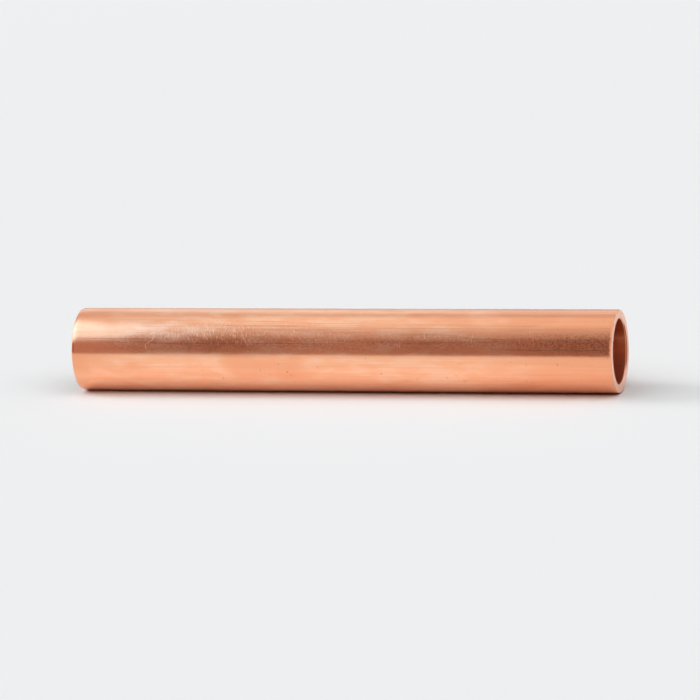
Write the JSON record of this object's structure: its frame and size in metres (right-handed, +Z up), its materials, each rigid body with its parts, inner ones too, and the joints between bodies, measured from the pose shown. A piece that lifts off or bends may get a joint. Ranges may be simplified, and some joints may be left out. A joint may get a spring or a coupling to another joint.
{
  "type": "straight copper tube",
  "caption": "Straight cut length of thick-walled round copper tube, open at both ends, lying on its side.",
  "frame": {"origin": "on the resting plane, below the middle of the tube", "axes": "+X along the tube's axis, +Z up"},
  "size_m": [0.12, 0.018, 0.018],
  "materials": {
    "copper": "bright drawn copper with fine lengthwise draw lines, scratches and small pits"
  },
  "bodies": {
    "root": {"copper_tube": "copper"}
  },
  "joints": []
}
